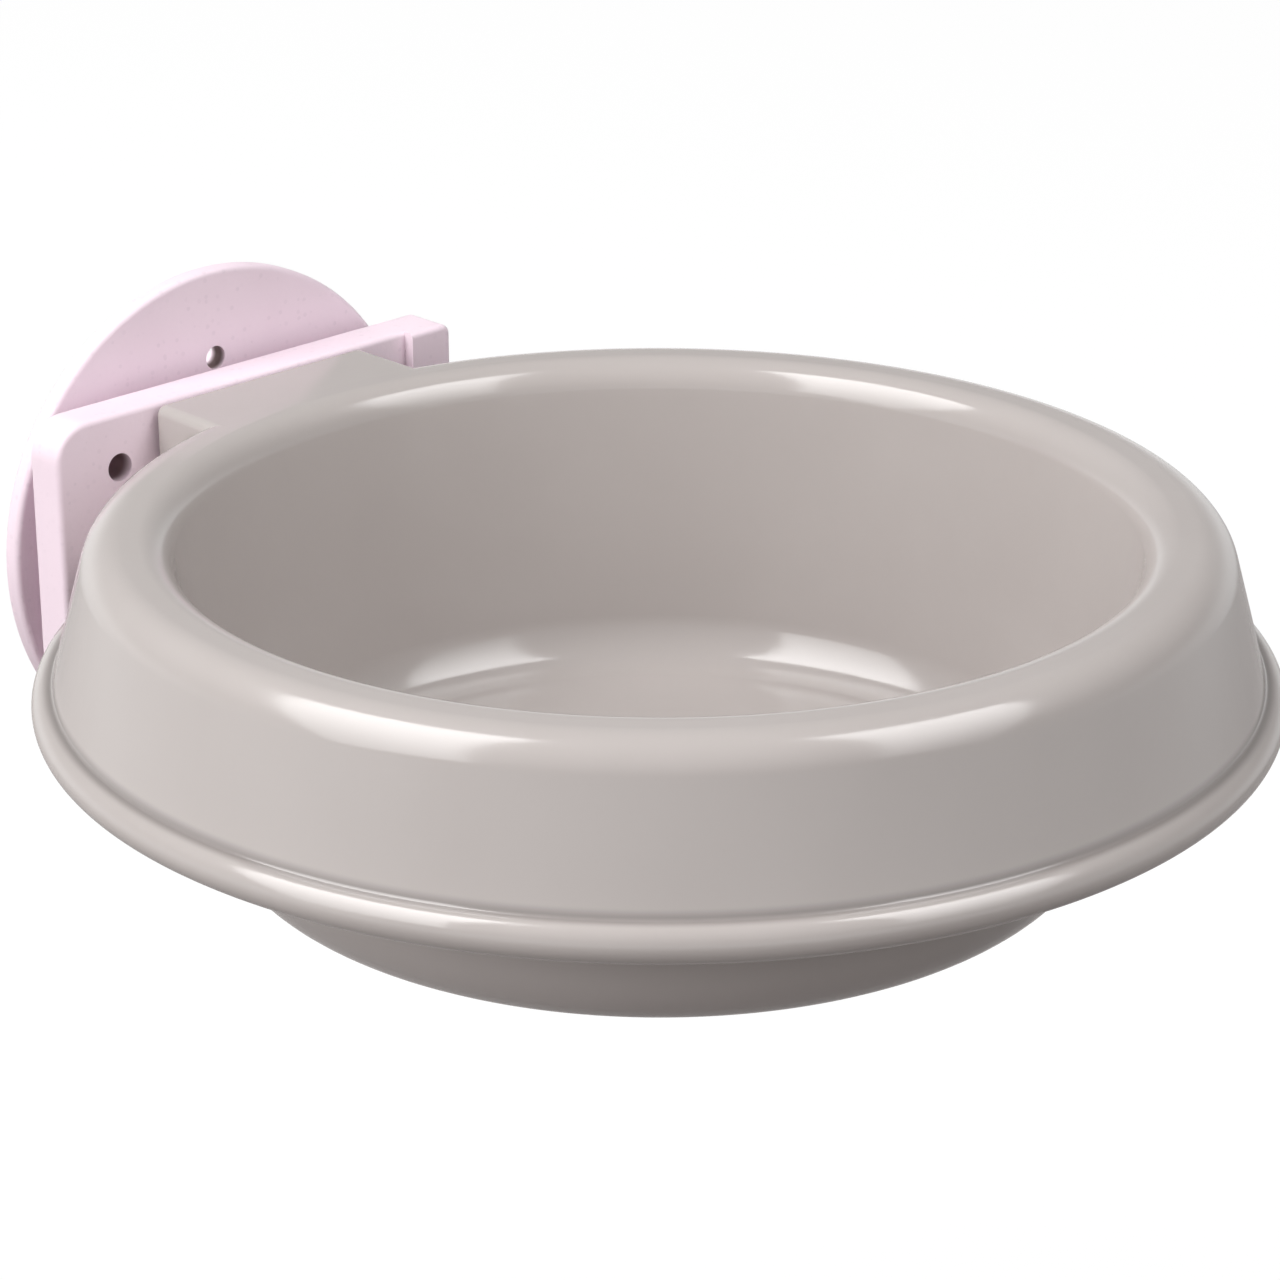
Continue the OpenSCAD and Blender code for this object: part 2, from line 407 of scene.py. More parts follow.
class Finish:
    """A material that is built from nodes at its first use."""

    slot: Slot
    roughness: float
    roughness_span: float
    scratch_scale: float
    scratch_share: float

    def material(self) -> bpy.types.Material:
        """Finds the finish's material, or builds it at its first use.

        Returns:
            The material.
        """
        name = "finish_" + self.slot.value
        found = bpy.data.materials.get(name)
        if found is None:
            found = bpy.data.materials.new(name)
            pen = NodePen.on(found)
            shader = pen.add("ShaderNodeBsdfPrincipled")
            out = pen.add("ShaderNodeOutputMaterial")
            pen.join(shader.outputs[0], out.inputs["Surface"])
            self.paint(pen, shader)
        return found

    def paint(self, pen: NodePen, shader: bpy.types.Node) -> None:
        """Joins the finish's nodes to the shader."""
        raise NotImplementedError

    @staticmethod
    def effect(pen: NodePen, effect: Effect, **values: float) -> dict[str, Socket]:
        """Places a shared effect in a material.

        Args:
            pen: Pen of the material's tree.
            effect: The effect to place.
            values: Values of its inputs, with underscores for blanks.

        Returns:
            The effect's outputs by name.
        """
        node = pen.add("ShaderNodeGroup", node_tree=EFFECTS.get(effect))
        for name, value in values.items():
            node.inputs[name.replace("_", " ")].default_value = value
        return {socket.name: socket for socket in node.outputs}

    def gloss(self, pen: NodePen, shader: bpy.types.Node, drift: Socket) -> None:
        """Joins a roughness that drifts with a mask and rises in hairline scratches.

        Args:
            pen: Pen of the material's tree.
            shader: The material's shader.
            drift: The mask.
        """
        hairs = self.effect(pen, Effect.FINE_SCRATCHES, Scale=self.scratch_scale, Amount=self.scratch_share)
        low, high = self.roughness - self.roughness_span, self.roughness + self.roughness_span
        drifting = pen.span(drift, 0.0, 1.0, low, high)
        pen.join(pen.math("ADD", drifting, hairs["Mask"]), shader.inputs["Roughness"])

    @staticmethod
    def relief(pen: NodePen, shader: bpy.types.Node, height: Socket, depth: float) -> None:
        """Joins a relief to the shader's normal.

        Args:
            pen: Pen of the material's tree.
            shader: The material's shader.
            height: The relief, from 0 to 1.
            depth: Depth of the relief in metres.
        """
        bump = pen.add("ShaderNodeBump")
        bump.inputs["Strength"].default_value = 1.0
        bump.inputs["Distance"].default_value = depth
        pen.join(height, bump.inputs["Height"])
        pen.join(bump.outputs[0], shader.inputs["Normal"])


@dataclass(frozen=True)
class BoreRow:
    """Small bores along the bolt's direction, alike left and right and above and below, whose walls get
    painted shade.

    Sizes in metres; full_to and clear_from are shares of half the depth.
    """

    x: float
    z: float
    radius: float
    middle_y: float
    half_depth: float
    edge_in: float = 0.05 * MM
    edge_out: float = 0.1 * MM
    full_to: float = 0.3
    clear_from: float = 1.1


@dataclass(frozen=True)
class Crease:
    """A round crease about an upright axis, along which painted shade darkens the surface. Sizes in metres.
    """

    axis_y: float
    radius: float
    z: float
    shaded_to: float
    unshaded_from: float


@dataclass(frozen=True)
class PlasticFinish(Finish):
    """Moulded plastic with a fine peel, drifting gloss, specks and scratches, and painted shade in bores and
    creases.
    """

    slot: Slot
    base: Colour
    drift: Colour
    speck: Colour
    speck_scale: float
    speck_radius: float
    speck_share: float
    roughness: float
    roughness_span: float
    peel_scale: float
    peel_depth: float
    drift_scale: float
    scratch_scale: float
    scratch_share: float
    # Colour of the painted shade in bores and creases.
    shade_tone: Colour
    ior: float = 1.5
    bores: tuple[BoreRow, ...] = ()
    creases: tuple[Crease, ...] = ()

    def bore_shade_mask(self, pen: NodePen) -> Value:
        """Adds a mask of painted shade on the bores' walls, strongest halfway through.

        Args:
            pen: Pen of the material's tree.

        Returns:
            The mask's socket.
        """
        x, y, z = pen.split(pen.place())
        across, upright = pen.math("ABSOLUTE", x), pen.math("ABSOLUTE", z)
        total: Value = 0.0
        for row in self.bores:
            away = pen.length(pen.math("SUBTRACT", across, row.x), pen.math("SUBTRACT", upright, row.z))
            within = pen.span(away, row.radius + row.edge_in, row.radius + row.edge_out, 1.0, 0.0)
            depth = pen.math("ABSOLUTE", pen.math("SUBTRACT", y, row.middle_y))
            deep = pen.span(depth, row.full_to * row.half_depth, row.clear_from * row.half_depth, 1.0, 0.0)
            total = pen.math("MAXIMUM", total, pen.math("MULTIPLY", within, deep))
        return total

    def crease_shade_mask(self, pen: NodePen) -> Value:
        """Adds a mask of painted shade that fades with the distance from the creases.

        Args:
            pen: Pen of the material's tree.

        Returns:
            The mask's socket.
        """
        x, y, z = pen.split(pen.place())
        total: Value = 0.0
        for crease in self.creases:
            along = pen.math("SUBTRACT", y, crease.axis_y)
            off_r = pen.math("SUBTRACT", pen.length(x, along), crease.radius)
            off_z = pen.math("SUBTRACT", z, crease.z)
            near = pen.span(pen.length(off_r, off_z), crease.shaded_to, crease.unshaded_from, 1.0, 0.0)
            total = pen.math("MAXIMUM", total, near)
        return total

    def paint(self, pen: NodePen, shader: bpy.types.Node) -> None:
        """Joins the plastic's colour, gloss and peel to the shader.

        Args:
            pen: Pen of the material's tree.
            shader: The material's shader.
        """
        skin = self.effect(
            pen, Effect.MOULDED_SKIN, Peel_Scale=self.peel_scale, Drift_Scale=self.drift_scale
        )
        specks = self.effect(pen, Effect.SPECKLE, Scale=self.speck_scale, Radius=self.speck_radius)
        tone = pen.mix(skin["Tone"], rgba(self.base), rgba(self.drift))
        share = pen.math("MULTIPLY", specks["Mask"], self.speck_share)
        tone = pen.mix(share, tone, rgba(self.speck))
        if self.bores:
            # Painted shade on the bores' walls.
            tone = pen.mix(self.bore_shade_mask(pen), tone, rgba(self.shade_tone))
        if self.creases:
            # Painted shade along the creases.
            tone = pen.mix(self.crease_shade_mask(pen), tone, rgba(self.shade_tone))
        pen.join(tone, shader.inputs["Base Color"])
        self.gloss(pen, shader, skin["Gloss"])
        shader.inputs["IOR"].default_value = self.ior
        self.relief(pen, shader, skin["Height"], self.peel_depth)


@dataclass(frozen=True)
class MetalFinish(Finish):
    """Plated or bare metal with tool lines, a drifting tone and hairline scratches."""

    slot: Slot
    base: Colour
    drift: Colour
    roughness: float
    roughness_span: float
    line_scale: float
    line_depth: float
    drift_scale: float
    scratch_scale: float
    scratch_share: float

    def paint(self, pen: NodePen, shader: bpy.types.Node) -> None:
        """Joins the metal's colour, gloss and tool lines to the shader.

        Args:
            pen: Pen of the material's tree.
            shader: The material's shader.
        """
        skin = self.effect(pen, Effect.MOULDED_SKIN, Drift_Scale=self.drift_scale)
        lines = self.effect(pen, Effect.TURNED_LINES, Scale=self.line_scale)
        pen.join(pen.mix(skin["Tone"], rgba(self.base), rgba(self.drift)), shader.inputs["Base Color"])
        self.gloss(pen, shader, lines["Mask"])
        shader.inputs["Metallic"].default_value = 1.0
        self.relief(pen, shader, lines["Height"], self.line_depth)


BOWL_GLOSS = PlasticFinish(
    slot=Slot.BOWL,
    base=(0.472, 0.432, 0.416),
    drift=(0.452, 0.412, 0.396),
    speck=(0.40, 0.36, 0.34),
    speck_scale=900.0,
    speck_radius=0.20,
    speck_share=0.10,
    roughness=0.13,
    roughness_span=0.02,
    peel_scale=420.0,
    peel_depth=0.000012,
    drift_scale=26.0,
    scratch_scale=260.0,
    scratch_share=0.03,
    # Colour of the painted shade in the crease.
    shade_tone=(0.300, 0.272, 0.261),
    ior=1.66,
    # Painted shade in the crease between skirt and bead.
    creases=(Crease(axis_y=-0.086, radius=0.0773, z=0.00384, shaded_to=0.0003, unshaded_from=0.0015),),
)
BRACKET_SATIN = PlasticFinish(
    slot=Slot.BRACKET,
    base=(0.920, 0.770, 0.852),
    drift=(0.890, 0.740, 0.822),
    speck=(0.52, 0.42, 0.50),
    speck_scale=900.0,
    speck_radius=0.36,
    speck_share=0.14,
    roughness=0.46,
    roughness_span=0.06,
    peel_scale=1500.0,
    peel_depth=0.00003,
    drift_scale=60.0,
    scratch_scale=400.0,
    scratch_share=0.08,
    # Colour of the painted shade in the bores.
    shade_tone=(0.200, 0.130, 0.130),
    # Painted shade in the plate's and the disc's bores.
    bores=(
        BoreRow(x=0.0246, z=0.01535, radius=0.0020, middle_y=-0.0032, half_depth=0.0032),
        BoreRow(x=0.0, z=0.0234, radius=0.0017, middle_y=0.0043, half_depth=0.0015),
        BoreRow(x=0.0234, z=0.0, radius=0.0017, middle_y=0.0043, half_depth=0.0015),
    ),
)
ZINC_PLATE = MetalFinish(
    slot=Slot.ZINC,
    base=(0.62, 0.63, 0.65),
    drift=(0.50, 0.52, 0.55),
    roughness=0.28,
    roughness_span=0.08,
    line_scale=6000.0,
    line_depth=0.00001,
    drift_scale=300.0,
    scratch_scale=1200.0,
    scratch_share=0.15,
)
MACHINED_BRASS = MetalFinish(
    slot=Slot.BRASS,
    base=(0.74, 0.56, 0.26),
    drift=(0.62, 0.45, 0.19),
    roughness=0.25,
    roughness_span=0.07,
    line_scale=8000.0,
    line_depth=0.00001,
    drift_scale=240.0,
    scratch_scale=1500.0,
    scratch_share=0.12,
)


def circle(radius: Size, y: Size, steps: int) -> Ring:
    """Makes one ring of points round the bolt axis.

    Args:
        radius: Radius in millimetres, or a function of the angle that gives it.
        y: Place along the bolt in millimetres, or a function of the angle that gives it.
        steps: Number of points.

    Returns:
        The points, in metres.
    """
    ring: Ring = []
    for k in range(steps):
        turn = FULL_TURN * k / steps
        r = radius(turn) if callable(radius) else radius
        along = y(turn) if callable(y) else y
        ring.append(Vector((r * math.cos(turn), along, r * math.sin(turn))) * MM)
    return ring


def hex_radius(across_flats: float) -> Callable[[float], float]:
    """Gives a hexagon's radius as a function of the angle, with corners on the X axis.

    Args:
        across_flats: Width between two opposite sides.

    Returns:
        The function.
    """
    half = across_flats / 2.0
    sixth = math.pi / 3.0
    return lambda turn: half / math.cos(turn % sixth - sixth / 2.0)


def thread_share(turn: float, y: float, pitch: float, level: float, steep: float) -> float:
    """Gives the depth of a right-hand thread as a share, from 0 to 1.

    Args:
        turn: Angle round the bolt in radians.
        y: Place along the bolt in millimetres.
        pitch: Rise of one turn in millimetres.
        level: Share halfway through a turn, before it is held between 0 and 1.
        steep: Change of the share over a whole turn from there.

    Returns:
        The share.
    """
    along = (y / pitch + turn / FULL_TURN) % 1.0
    return min(max(level + steep * abs(along - 0.5), 0.0), 1.0)


def bridge(mesh: bmesh.types.BMesh, loops: Sequence[list[bmesh.types.BMVert]], closed: bool) -> None:
    """Spans faces between neighbouring loops of points. A loop of one point is a tip.

    Args:
        mesh: The mesh that holds the points.
        loops: The loops in order along the surface.
        closed: Whether the last loop joins the first.
    """
    steps = max(len(loop) for loop in loops)
    pairs = list(zip(loops, loops[1:])) + ([(loops[-1], loops[0])] if closed else [])
    for low, high in pairs:
        for k in range(steps):
            after = (k + 1) % steps
            corners = [low[k % len(low)], low[after % len(low)], high[after % len(high)], high[k % len(high)]]
            mesh.faces.new(list(dict.fromkeys(corners)))


def loft(name: str, rings: Sequence[Ring], closed: bool) -> bpy.types.Object:
    """Makes a mesh from rings of equal length.

    Args:
        name: Name of the object.
        rings: Rings of points in order along the surface.
        closed: Whether the last ring joins the first; otherwise both ends are capped.

    Returns:
        The new object, linked to the scene.
    """
    mesh = bmesh.new()
    loops = [[mesh.verts.new(point) for point in ring] for ring in rings]
    bridge(mesh, loops, closed)
    if not closed:
        mesh.faces.new(loops[0])
        mesh.faces.new(loops[-1])
    bmesh.ops.recalc_face_normals(mesh, faces=mesh.faces)
    return to_object(name, mesh)


def turned(name: str, section: Sequence[Point], axis: Vector, steps: int, closed: bool) -> bpy.types.Object:
    """Turns a half section about an upright axis.

    Args:
        name: Name of the object.
        section: Radius and height of each point, in millimetres; an open section starts and ends on the axis.
        axis: Point of the axis at height zero, in millimetres.
        steps: Steps round the axis.
        closed: Whether the section is a closed loop off the axis.

    Returns:
        The new object, linked to the scene.
    """
    mesh = bmesh.new()
    loops: list[list[bmesh.types.BMVert]] = []
    for r, z in section:
        count = steps if r > TINY else 1
        angles = [FULL_TURN * k / count for k in range(count)]
        points = [axis + Vector((r * math.cos(a), r * math.sin(a), z)) for a in angles]
        loops.append([mesh.verts.new(point * MM) for point in points])
    bridge(mesh, loops, closed)
    bmesh.ops.recalc_face_normals(mesh, faces=mesh.faces)
    return to_object(name, mesh)


def block(low: Vector, high: Vector) -> bmesh.types.BMesh:
    """Makes a box, for further shaping or cutting.

    Args:
        low: Its lowest corner in millimetres.
        high: Its highest corner in millimetres.

    Returns:
        The box's mesh.
    """
    mesh = bmesh.new()
    size = Matrix.Diagonal((*(high - low), 1.0))
    place = Matrix.Scale(MM, 4) @ Matrix.Translation((low + high) / 2.0) @ size
    bmesh.ops.create_cube(mesh, size=1.0, matrix=place)
    return mesh


def round_edges(
    mesh: bmesh.types.BMesh, edges: list[bmesh.types.BMEdge], radius: float, segments: int
) -> None:
    """Rounds edges of a mesh.

    Args:
        mesh: The mesh.
        edges: The edges to round.
        radius: Radius of the round in millimetres.
        segments: Steps across the round.
    """
    bmesh.ops.bevel(
        mesh, geom=edges, offset=radius * MM, segments=segments, affect="EDGES", profile=ROUND_PROFILE
    )


def smooth_faces(mesh: bmesh.types.BMesh, sharp_deg: float) -> None:
    """Makes all faces smooth and marks the sharp edges.

    Args:
        mesh: The mesh.
        sharp_deg: Edges that bend by more than this many degrees are sharp.
    """
    for edge in mesh.edges:
        edge.smooth = len(edge.link_faces) == 2 and edge.calc_face_angle(0.0) < math.radians(sharp_deg)
    for face in mesh.faces:
        face.smooth = True


def to_object(name: str, mesh: bmesh.types.BMesh) -> bpy.types.Object:
    """Turns a finished bmesh into an object with smooth shading.

    Args:
        name: Name of the object.
        mesh: The mesh, which is freed.

    Returns:
        The new object, linked to the scene.
    """
    data = bpy.data.meshes.new(name)
    smooth_faces(mesh, SHARP_DEG)
    mesh.to_mesh(data)
    mesh.free()
    piece = bpy.data.objects.new(name, data)
    bpy.context.scene.collection.objects.link(piece)
    return piece


def bake(piece: bpy.types.Object) -> None:
    """Replaces a piece's mesh by the result of its modifiers.

    Args:
        piece: The object that is changed.
    """
    graph = bpy.context.evaluated_depsgraph_get()
    result = bpy.data.meshes.new_from_object(piece.evaluated_get(graph))
    piece.modifiers.clear()
    piece.data = result


def combine(target: bpy.types.Object, tool: bpy.types.Object, way: Cut) -> None:
    """Joins a tool to a piece or takes it out of the piece, and deletes the tool.

    Args:
        target: The object that is changed.
        tool: The other object.
        way: How they are combined.
    """
    boolean = target.modifiers.new("combine", "BOOLEAN")
    boolean.operation = way.value
    boolean.object = tool
    boolean.solver = "EXACT"
    bake(target)
    bpy.data.objects.remove(tool)


def soften(piece: bpy.types.Object, voxel: float, factor: float, rounds: int) -> None:
    """Rounds every edge of a closed piece a little.

    Args:
        piece: The object that is changed.
        voxel: Size of the grid that it is rebuilt on, in metres.
        factor: Strength of one smoothing pass.
        rounds: Number of smoothing passes.
    """
    grid = piece.modifiers.new("grid", "REMESH")
    grid.mode = "VOXEL"
    grid.voxel_size = voxel
    smooth = piece.modifiers.new("smooth", "SMOOTH")
    smooth.factor = factor
    smooth.iterations = rounds
    bake(piece)


def shade(piece: bpy.types.Object, sharp_deg: float) -> None:
    """Gives a piece smooth faces and sharp edges.

    Args:
        piece: The object that is changed.
        sharp_deg: Edges that bend by more than this many degrees are sharp.
    """
    mesh = bmesh.new()
    mesh.from_mesh(piece.data)
    smooth_faces(mesh, sharp_deg)
    mesh.to_mesh(piece.data)
    mesh.free()


def even_shading(piece: bpy.types.Object, sharp_deg: float, weight: int) -> None:
    """Shades a cut piece so that its large faces stay even up to their edges.

    Args:
        piece: The object that is changed.
        sharp_deg: Edges that bend by more than this many degrees are sharp.
        weight: How far large faces outweigh small ones.
    """
    shade(piece, sharp_deg)
    weighted = piece.modifiers.new("weighted", "WEIGHTED_NORMAL")
    weighted.mode = "FACE_AREA"
    weighted.weight = weight
    weighted.keep_sharp = True
    bake(piece)


def dress(piece: bpy.types.Object, finish: Finish) -> None:
    """Gives a piece one finish in all its slots.

    Args:
        piece: The object that is dressed.
        finish: Its finish.
    """
    slots = piece.data.materials
    if len(slots) == 0:
        slots.append(finish.material())
    for k in range(len(slots)):
        slots[k] = finish.material()


def dress_node(node: str, finish: Finish) -> None:
    """Gives a carried-over node its finish."""
    dress(frame["nodes"][node], finish)
    LOG.info("node %s dressed in %s", node, finish.slot.value)


def settle(piece: bpy.types.Object, body: Body, node: str, finish: Finish) -> None:
    """Lets a new piece stand for a node, on a body, in a finish.

    Args:
        piece: The new piece, in place.
        body: The body that it moves with.
        node: The node that it stands for.
        finish: Its finish.
    """
    dress(piece, finish)
    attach(piece, body.value)
    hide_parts(node)
    LOG.info("piece %s stands for node %s on body %s", piece.name, node, body.value)


def sweep(middle: Vector, spoke: Vector, turn: float, step_deg: float) -> list[Vector]:
    """Makes points on an arc.

    Args:
        middle: Middle of the arc.
        spoke: From the middle to the first point.
        turn: Turn of the arc in radians, counter-clockwise if positive.
        step_deg: Turn of one step.

    Returns:
        The points, both ends included.
    """
    steps = max(2, math.ceil(abs(math.degrees(turn)) / step_deg))
    return [middle + Matrix.Rotation(turn * k / steps, 2) @ spoke for k in range(steps + 1)]


def rounded(corners: Sequence[Triple]) -> list[Point]:
    """Rounds the corners of an open line in a half section.

    Args:
        corners: Radius and height of each corner and the radius of its round, in millimetres.

    Returns:
        The line's points.
    """
    line = [Vector(corners[0][:2])]
    for before, (r, z, bend), after in zip(corners, corners[1:], corners[2:]):
        corner = Vector((r, z))
        come = (corner - Vector(before[:2])).normalized()
        leave = (Vector(after[:2]) - corner).normalized()
        turn = come.angle_signed(leave) if bend > 0.0 else 0.0
        if abs(turn) < TINY:
            line.append(corner)
            continue
        side = Vector((come.y, -come.x)) * math.copysign(bend, turn)
        start = corner - come * bend * math.tan(abs(turn) / 2.0)
        middle = start + side
        line += sweep(middle, start - middle, -turn, ROUND_STEP_DEG)
    line.append(Vector(corners[-1][:2]))
    return [(point.x, point.y) for point in line]


@dataclass
class Bowl:
    """The moulded bowl with its skirt, bead and hollow hanger.

    Sizes in millimetres, heights from the middle of the bead, depths from the bowl's axis.
    """

    axis: Triple = (0.0, -86.0, 1.4)
    bead_out_r: float = 80.0
    bead_r: float = 2.45
    bead_proud: float = 2.7
    bead_step_deg: float = 6.0
    crease_round: float = 0.5
    rim_h: float = 21.6
    opening_r: float = 61.2
    rim_in_round: float = 4.5
    rim_out_round: float = 5.5
    flare_deg: float = 15.5
    draft_deg: float = 9.2
    base_drop: float = 23.2
    base_round: float = 10.0
    wall: float = 2.5
    hanger_half: float = 18.6
    hanger_back: float = 79.0
    hanger_front: float = 65.5
    hanger_round: float = 1.4
    hanger_round_steps: int = 8
    hanger_edge: float = 0.8
    hanger_edge_steps: int = 6
    slot_half: float = 8.4
    hair: float = 0.02
    below: float = -30.0
    steps: int = 288
    sharp_deg: float = 30.0
    face_weight: int = 60
    finish: PlasticFinish = BOWL_GLOSS

    def build(self) -> None:
        """Makes the bowl: a turned moulding with its hanger joined on and hollowed out."""
        place = Vector(self.axis)
        moulding = turned("moulded_bowl", self.section(), place, self.steps, closed=False)
        wide = self.bead_out_r
        back, front = self.hanger_back, self.hanger_front
        self.cut(moulding, (-wide, back - self.hair, -wide), (wide, 2.0 * wide, self.bead_r * 2.0))
        hanger = self.hanger()
        hollow = turned("ring_hollow", self.hollow(), place, self.steps, closed=True)
        combine(hanger, hollow, Cut.TAKE_OUT)
        combine(moulding, hanger, Cut.JOIN)
        roof = self.rim_h - self.wall
        inner = self.hanger_half - self.wall
        slot = self.slot_half
        self.cut(moulding, (-inner, front, self.below), (inner, back - self.wall, roof))
        self.cut(moulding, (-slot, front, self.below), (slot, wide + self.wall, roof))
        even_shading(moulding, self.sharp_deg, self.face_weight)
        settle(moulding, Body.BOWL, "bowl", self.finish)

    def cut(self, piece: bpy.types.Object, low: Triple, high: Triple) -> None:
        """Cuts a box out of a piece.

        Args:
            piece: The object that is changed.
            low: The box's lowest corner from the bowl's axis.
            high: The box's highest corner from the bowl's axis.
        """
        place = Vector(self.axis)
        tool = to_object("cutter", block(Vector(low) + place, Vector(high) + place))
        combine(piece, tool, Cut.TAKE_OUT)

    def skirt_foot(self, inset: float) -> float:
        """Gives the radius of the skirt's face at the height of the bead's middle.

        Args:
            inset: How far the face is set in.

        Returns:
            The radius.
        """
        flare = math.radians(self.flare_deg)
        top_r = self.bead_out_r - self.bead_proud
        crease = math.sqrt(self.bead_r**2 - (top_r - self.bead_out_r + self.bead_r) ** 2)
        return top_r + crease * math.tan(flare) - inset / math.cos(flare)

    def basin_r(self, z: float, inset: float) -> float:
        """Gives the radius of the basin's straight wall at a height.

        Args:
            z: The height.
            inset: Zero for the inner face, or how far outside it.

        Returns:
            The radius.
        """
        draft = math.radians(self.draft_deg)
        drop = self.rim_h - self.rim_in_round - z
        return self.opening_r - drop * math.tan(draft) + inset / math.cos(draft)

    def bead(self) -> list[Point]:
        """Makes the soft crease under the skirt and the bead, down to the hollow's face.

        Returns:
            The points of that line.
        """
        flare = math.radians(self.flare_deg)
        middle = Vector((self.bead_out_r - self.bead_r, 0.0))
        out = Vector((math.cos(flare), math.sin(flare)))
        up = Vector((-math.sin(flare), math.cos(flare)))
        offset = Vector((self.skirt_foot(0.0), 0.0)) + out * self.crease_round - middle
        reach = self.bead_r + self.crease_round
        slide = offset.dot(up)
        hinge = middle + offset + up * (-slide + math.sqrt(slide**2 - offset.length_squared + reach**2))
        inward = (middle - hinge).normalized()
        bend = -(-out).angle_signed(inward)
        crease = sweep(hinge, -out * self.crease_round, bend, self.bead_step_deg)
        face = self.skirt_foot(self.wall) - middle.x
        end = -math.acos(face / self.bead_r)
        start = math.atan2(-inward.y, -inward.x)
        roll = sweep(middle, -inward * self.bead_r, end - start, self.bead_step_deg)
        return [(point.x, point.y) for point in crease + roll[1:]]

    def section(self) -> list[Point]:
        """Makes the moulding's half section, from the middle of the floor over the rim to that of the base.

        Returns:
            The section's points.
        """
        flare = math.tan(math.radians(self.flare_deg))
        floor, base, roof = self.wall - self.base_drop, -self.base_drop, self.rim_h - self.wall
        inner_foot = self.skirt_foot(self.wall)
        bead = self.bead()
        upper = rounded([
            (0.0, floor, 0.0),
            (self.basin_r(floor, 0.0), floor, self.base_round - self.wall),
            (self.basin_r(self.rim_h, 0.0), self.rim_h, self.rim_in_round),
            (self.skirt_foot(0.0) - self.rim_h * flare, self.rim_h, self.rim_out_round),
            (*bead[0], 0.0),
        ])
        lower = rounded([
            (*bead[-1], 0.0),
            (inner_foot, 0.0, 0.0),
            (inner_foot - roof * flare, roof, self.rim_out_round - self.wall),
            (self.basin_r(roof, self.wall), roof, 0.0),
            (self.basin_r(base, self.wall), base, self.base_round),
            (0.0, base, 0.0),
        ])
        return upper[:-1] + bead + lower[1:]

    def hollow(self) -> list[Point]:
        """Makes the closed half section of the hollow between basin and skirt, open below.

        Returns:
            The section's points.
        """
        flare = math.tan(math.radians(self.flare_deg))
        roof = self.rim_h - self.wall
        foot = self.skirt_foot(self.wall)
        inside = self.basin_r(self.below, 0.0)
        return rounded([
            (inside, self.below, 0.0),
            (foot, self.below, 0.0),
            (foot, 0.0, 0.0),
            (foot - roof * flare, roof, self.rim_out_round - self.wall),
            (inside, roof, 0.0),
        ])

    def hanger(self) -> bpy.types.Object:
        """Makes the hanger behind the skirt, full, with its long edges and its back edges rounded.

        Returns:
            The hanger's object.
        """
        place = Vector(self.axis)
        low = Vector((-self.hanger_half, self.hanger_front, -self.bead_r)) + place
        high = Vector((self.hanger_half, self.hanger_back, self.rim_h - self.hair)) + place
        mesh = block(low, high)
        along = [edge for edge in mesh.edges if abs((edge.verts[0].co - edge.verts[1].co).y) > MM]
        round_edges(mesh, along, self.hanger_round, self.hanger_round_steps)
        back = [e for e in mesh.edges if all(abs(v.co.y - high.y * MM) < TINY for v in e.verts)]
        round_edges(mesh, back, self.hanger_edge, self.hanger_edge_steps)
        return to_object("hanger", mesh)


@dataclass
class Bracket:
    """Bracket plate with its hook, and the bolt that is held in it. Sizes in millimetres."""

    head_face_y: float = -12.4
    seat_y: float = -8.4
    end_y: float = 31.6
    tip: float = 1.0
    bolt_r: float = 3.0
    root_r: float = 2.45
    pitch: float = 1.0
    flank_level: float = -0.15
    flank_steep: float = 2.6
    across_flats: float = 10.0
    face_r: float = 4.6
    face_inset: float = 0.6
    chamfer_deg: float = 25.0
    seat_edge: float = 0.2
    neck: float = 0.25
    thread_from_y: float = -2.0
    rows_per_turn: int = 10
    steps: int = 72
    plate_finish: PlasticFinish = BRACKET_SATIN
    bolt_finish: MetalFinish = ZINC_PLATE

    def build(self) -> None:
        """Dresses the plate and makes the bolt."""
        dress_node("mounting_plate", self.plate_finish)
        settle(self.bolt(), Body.BRACKET, "clamp_bolt", self.bolt_finish)

    def thread_r(self, turn: float, y: float) -> float:
        """Gives the radius of the bolt's thread.

        Args:
            turn: Angle round the bolt in radians.
            y: Place along the bolt.

        Returns:
            The radius.
        """
        groove = thread_share(turn, y, self.pitch, self.flank_level, self.flank_steep)
        fade = min(max((y - self.thread_from_y) / self.pitch, 0.0), 1.0)
        radius = self.bolt_r - (self.bolt_r - self.root_r) * groove * fade
        return min(radius, self.bolt_r - self.tip + (self.end_y - y))

    def bolt(self) -> bpy.types.Object:
        """Makes the bolt: chamfered hex head, shank and thread in one skin.

        Returns:
            The bolt's object.
        """
        hexagon = hex_radius(self.across_flats)
        slope = math.tan(math.radians(self.chamfer_deg))
        rings = [
            circle(self.face_r - self.face_inset, self.head_face_y, self.steps),
            circle(self.face_r, self.head_face_y, self.steps),
            circle(hexagon, lambda t: self.head_face_y + (hexagon(t) - self.face_r) * slope, self.steps),
            circle(hexagon, self.seat_y - self.seat_edge, self.steps),
            circle(lambda t: hexagon(t) - self.seat_edge, self.seat_y, self.steps),
            circle(self.bolt_r + self.neck, self.seat_y, self.steps),
            circle(self.bolt_r, self.seat_y + self.neck, self.steps),
        ]
        rows = int((self.end_y - self.thread_from_y) / self.pitch * self.rows_per_turn)
        for row in range(rows + 1):
            y = self.thread_from_y + (self.end_y - self.thread_from_y) * row / rows
            rings.append(circle(lambda t, y=y: self.thread_r(t, y), y, self.steps))
        return loft("threaded_bolt", rings, closed=False)


